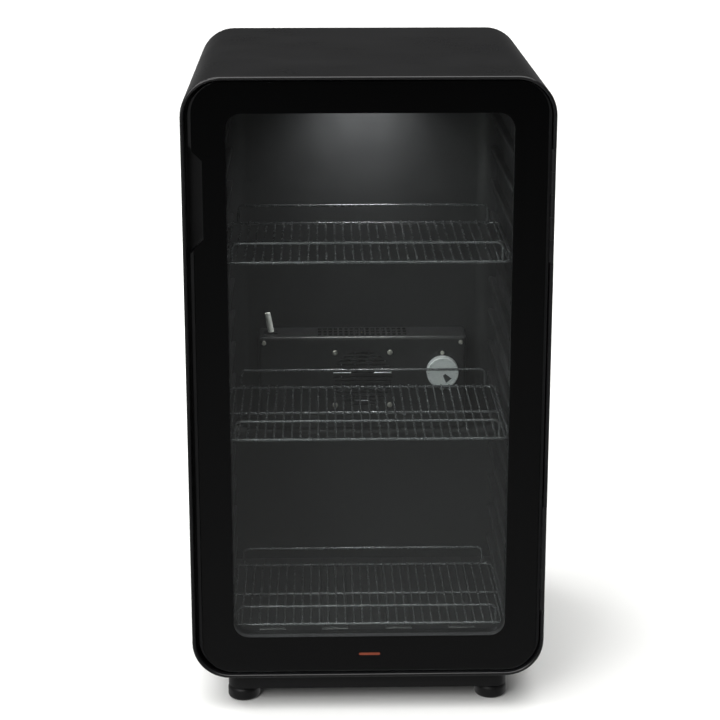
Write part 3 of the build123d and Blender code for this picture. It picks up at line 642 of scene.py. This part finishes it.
@dataclass
class DoorSeal:
    """The magnetic seal: a ribbed foot, two bellows and the magnet's tube, led round the door."""

    corner_radius: float = 22 * MM
    corner_steps: int = 10
    width: float = 11 * MM

    def section(self, depth: float) -> list[tuple[float, float]]:
        """The seal's outline: its foot, two pinched bellows and the square tube of the magnet.

        Args:
            depth: From the foot to the magnet's face.

        Returns:
            Points as (outward, front to back).
        """
        half = [(0.5, 0.0), (0.5, 0.16), (0.34, 0.22), (0.47, 0.36), (0.30, 0.50), (0.46, 0.62), (0.46, 0.94),
                (0.38, 1.0)]
        shares = half + [(-across, along) for across, along in reversed(half)]
        return [(across * self.width, along * depth) for across, along in shares]

    def build(self, shop: Paintshop) -> bpy.types.Object:
        """Leads the section round the door: straight runs by extrusion and corners by spinning.

        Args:
            shop: Where the finishes come from.

        Returns:
            The piece.
        """
        low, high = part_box("door_gasket")
        half = self.width / 2
        radius = self.corner_radius
        left, right = low.x + half, high.x - half
        bottom, top = low.z + half, high.z - half
        mesh = bmesh.new()
        points = self.section(high.y - low.y)
        ring = [mesh.verts.new((right + across, low.y + along, bottom + radius)) for across, along in points]
        edges = [mesh.edges.new(pair) for pair in zip(ring, ring[1:] + ring[:1])]
        runs = [Vector((0, 0, top - bottom - 2 * radius)), Vector((left - right + 2 * radius, 0, 0))]
        corners = [Vector((right - radius, 0, top - radius)), Vector((left + radius, 0, top - radius)),
                   Vector((left + radius, 0, bottom + radius)), Vector((right - radius, 0, bottom + radius))]
        for number, corner in enumerate(corners):
            run = runs[number % 2] * (1 if number < 2 else -1)
            grown = bmesh.ops.extrude_edge_only(mesh, edges=edges)["geom"]
            verts = [item for item in grown if isinstance(item, bmesh.types.BMVert)]
            bmesh.ops.translate(mesh, verts=verts, vec=run)
            edges = [item for item in grown if isinstance(item, bmesh.types.BMEdge)]
            turned = bmesh.ops.spin(mesh, geom=edges + verts, cent=corner, axis=(0, -1, 0), angle=math.pi / 2,
                                    steps=self.corner_steps)["geom_last"]
            edges = [item for item in turned if isinstance(item, bmesh.types.BMEdge)]
        piece = finished_piece("door_gasket_bellows", mesh, "door", smooth_deg=50)
        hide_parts("door_gasket")
        shop.coat(piece, SOFT_PVC)
        return piece


# ---------------------------------------------------------------- inside

@dataclass
class DialTicksAndPaintedShade:
    """The dial's printed scale, and a dark wedge of ink in its pointer recess that is painted shade."""

    tick_count: int = 11
    sweep_deg: float = 300.0
    tick_inner: float = 19.4 * MM
    tick_outer: float = 21.4 * MM
    tick_half_width: float = 0.25 * MM
    # The wedge: dark ink in the pointer recess, standing for the recess's shade (painted shade).
    wedge_deg: float = -52.0
    wedge_inner: float = 3.3 * MM
    wedge_outer: float = 14.7 * MM
    wedge_inner_half: float = 2.2 * MM
    wedge_outer_half: float = 5.1 * MM
    dip_depth: float = 1 * MM
    thickness: float = 0.1 * MM

    def mark(self, mesh: bmesh.types.BMesh, face: Vector, angle: float, reach: tuple[float, float],
             halves: tuple[float, float]) -> None:
        """Adds a mark that lies along a ray from the dial's middle.

        Args:
            mesh: Where the faces go.
            face: The dial's middle, on the printed face.
            angle: The ray's angle from +X towards +Z, in radians.
            reach: The mark's inner and outer radius.
            halves: Half its width at each of them.
        """
        along = Vector((math.cos(angle), 0, math.sin(angle)))
        across = Vector((-math.sin(angle), 0, math.cos(angle)))
        inner, outer = face + along * reach[0], face + along * reach[1]
        outline = [inner - across * halves[0], outer - across * halves[1], outer + across * halves[1],
                   inner + across * halves[0]]
        prism(mesh, outline, FORWARD * self.thickness)

    def build(self, shop: Paintshop) -> bpy.types.Object:
        """Builds the printed scale round the rim and the dark wedge: painted shade laid on the pointer recess
        that marks the setting.

        Args:
            shop: Where the finishes come from.

        Returns:
            The piece.
        """
        low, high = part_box("thermostat_knob")
        face = Vector(((low.x + high.x) / 2, low.y, (low.z + high.z) / 2))
        mesh = bmesh.new()
        for number in range(self.tick_count):
            angle = math.radians(90 + self.sweep_deg * (number / (self.tick_count - 1) - 0.5))
            self.mark(mesh, face, angle, (self.tick_inner, self.tick_outer), (self.tick_half_width,) * 2)
        # The wedge sits a little back in the pointer recess; its dark ink is painted shade of the recess.
        self.mark(mesh, face + BACKWARD * self.dip_depth, math.radians(self.wedge_deg),
                  (self.wedge_inner, self.wedge_outer), (self.wedge_inner_half, self.wedge_outer_half))
        piece = finished_piece("dial_ticks_and_painted_shade", mesh, "thermostat_knob")
        shop.coat(piece, DIAL_PRINT_AND_SHADE_INK)
        return piece


# ---------------------------------------------------------------- stage, light and camera

@dataclass
class Studio:
    """A pale floor, soft light and the camera."""

    floor_reach: float = 60.0
    pale: str = "#fbfbfa"
    front_levels: tuple[tuple[float, float], ...] = ((0.02, 0.3), (0.16, 0.28), (0.24, 0.22), (0.30, 0.14),
                                                     (0.42, 0.025), (0.55, 0.02), (0.75, 0.15), (0.98, 0.5))
    back_levels: tuple[tuple[float, float], ...] = ((0.02, 0.5), (0.35, 0.5), (0.47, 0.3), (0.53, 0.035),
                                                    (0.65, 0.035), (0.8, 0.25), (0.98, 0.6))
    key_strength: float = 3.4
    key_angle_deg: float = 70.0
    key_direction: tuple[float, float, float] = (0.12, 0.10, -1.0)
    soft_size: tuple[float, float] = (1.6, 1.6)
    fill_place: tuple[float, float, float] = (-1.5, -2.7, 1.9)
    fill_watts: float = 55.0
    back_place: tuple[float, float, float] = (-1.9, 2.6, 1.9)
    back_watts: float = 40.0
    aim_height: float = 0.45
    lamp_size: tuple[float, float] = (110 * MM, 20 * MM)
    lamp_gap: float = 3 * MM
    lamp_slant: float = 0.45
    lamp_watts: float = 0.75
    lamp_spread_deg: float = 110.0
    camera_place: tuple[float, float, float] = (-0.0646, -2.6, 1.2067)
    camera_pitch_deg: float = 15.21
    camera_yaw_deg: float = -1.30
    camera_lens: float = 97.2
    camera_shift_y: float = -0.08

    def floor(self, shop: Paintshop) -> None:
        """Lays the pale floor, which gloss and glass don't mirror: they take the dim room instead.

        Args:
            shop: Where the finishes come from.
        """
        mesh = bmesh.new()
        bmesh.ops.create_grid(mesh, x_segments=8, y_segments=8, size=self.floor_reach)
        data = bpy.data.meshes.new("floor")
        mesh.to_mesh(data)
        mesh.free()
        floor = bpy.data.objects.new("floor", data)
        bpy.context.scene.collection.objects.link(floor)
        floor.visible_glossy = False
        floor.visible_transmission = False
        shop.coat(floor, PALE_PAPER)

    def room(self) -> None:
        """Sets the room: pale where it is seen straight or through glass, dim where it lights or is mirrored.

        Its dim light is a grey ramp over height, one in front of the door and one behind the cabinet.
        """
        world = bpy.data.worlds.new("studio_room")
        bpy.context.scene.world = world
        world.use_nodes = True
        tree = world.node_tree
        tree.nodes.clear()
        place = add_node(tree, "TexCoord").outputs["Generated"]
        parts = add_node(tree, "SeparateXYZ", links={"Vector": place})
        height = add_node(tree, "MapRange", {"From Min": -1.0}, {"Value": parts.outputs["Z"]})
        sides = []
        for levels in (self.front_levels, self.back_levels):
            ramp = add_node(tree, "ValToRGB", links={"Fac": height.outputs["Result"]})
            for position, level in levels:
                stop = ramp.color_ramp.elements.new(position)
                stop.color = (level, level, level, 1.0)
            sides.append(ramp.outputs["Color"])
        behind = add_node(tree, "MapRange", {"From Min": -0.4, "From Max": 0.4},
                          {"Value": parts.outputs["Y"]}, interpolation_type="SMOOTHSTEP")
        light = add_node(tree, "Mix", links={0: behind.outputs["Result"], 6: sides[0], 7: sides[1]},
                         data_type="RGBA")
        path = add_node(tree, "LightPath")
        turns = add_node(tree, "Math", operation="ADD",
                         links={0: path.outputs["Glossy Depth"], 1: path.outputs["Diffuse Depth"]})
        straight = add_node(tree, "Math", {1: 0.5}, {0: turns.outputs[0]}, operation="LESS_THAN")
        seen = add_node(tree, "Mix", {7: linear(self.pale)}, {0: straight.outputs[0], 6: light.outputs[2]},
                        data_type="RGBA")
        shader = add_node(tree, "Background", {"Strength": 1.0}, {"Color": seen.outputs[2]})
        add_node(tree, "OutputWorld", links={"Surface": shader.outputs[0]})

    def area_light(self, name: str, place: Vector, aim: Vector, size: tuple[float, float], watts: float
                   ) -> bpy.types.Object:
        """Adds a soft rectangular light.

        Args:
            name: The light's name.
            place: Where it hangs.
            aim: The point that it faces.
            size: Its width and height.
            watts: Its power.

        Returns:
            The light's object.
        """
        data = bpy.data.lights.new(name, "AREA")
        data.shape = "RECTANGLE"
        data.size, data.size_y = size
        data.energy = watts
        light = bpy.data.objects.new(name, data)
        light.location = place
        light.rotation_euler = (aim - place).to_track_quat("-Z", "Y").to_euler()
        bpy.context.scene.collection.objects.link(light)
        return light

    def lights(self) -> None:
        """Hangs a broad key above, a fill at the front left, one behind, and the cooler's own lamp."""
        data = bpy.data.lights.new("key", "SUN")
        data.energy = self.key_strength
        data.angle = math.radians(self.key_angle_deg)
        key = bpy.data.objects.new("key", data)
        key.rotation_euler = Vector(self.key_direction).to_track_quat("-Z", "Y").to_euler()
        bpy.context.scene.collection.objects.link(key)
        middle = Vector((0, 0, self.aim_height))
        self.area_light("fill", Vector(self.fill_place), middle, self.soft_size, self.fill_watts)
        back = self.area_light("back", Vector(self.back_place), middle, self.soft_size, self.back_watts)
        back.visible_glossy = False
        low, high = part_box("lamp_lens")
        under = Vector(((low.x + high.x) / 2, (low.y + high.y) / 2, low.z - self.lamp_gap))
        aim = under + Vector((0, self.lamp_slant, -1))
        lamp = self.area_light("cabinet_lamp", under, aim, self.lamp_size, self.lamp_watts)
        lamp.data.spread = math.radians(self.lamp_spread_deg)

    def camera(self) -> None:
        """Sets the camera in front, a little above the top and looking down."""
        data = bpy.data.cameras.new("camera")
        data.lens = self.camera_lens
        data.sensor_width = 36.0
        data.shift_y = self.camera_shift_y
        data.clip_end = 200.0
        camera = bpy.data.objects.new("camera", data)
        camera.location = self.camera_place
        tilt = math.radians(90 - self.camera_pitch_deg)
        camera.rotation_euler = (tilt, 0, math.radians(self.camera_yaw_deg))
        bpy.context.scene.collection.objects.link(camera)
        bpy.context.scene.camera = camera

    def build(self, shop: Paintshop) -> None:
        """Builds the camera, room, floor and lights.

        Args:
            shop: Where the finishes come from.
        """
        self.camera()
        self.room()
        self.floor(shop)
        self.lights()
        bpy.context.scene.view_settings.view_transform = "Standard"


def main() -> None:
    """Builds the cooler's looks around the frame."""
    shop = Paintshop()
    Studio().build(shop)
    shop.coat_frame()
    ScrewKit().build(shop)
    DoorDash().build(shop)
    DoorSeal().build(shop)
    DialTicksAndPaintedShade().build(shop)


if __name__ == "__main__":
    main()
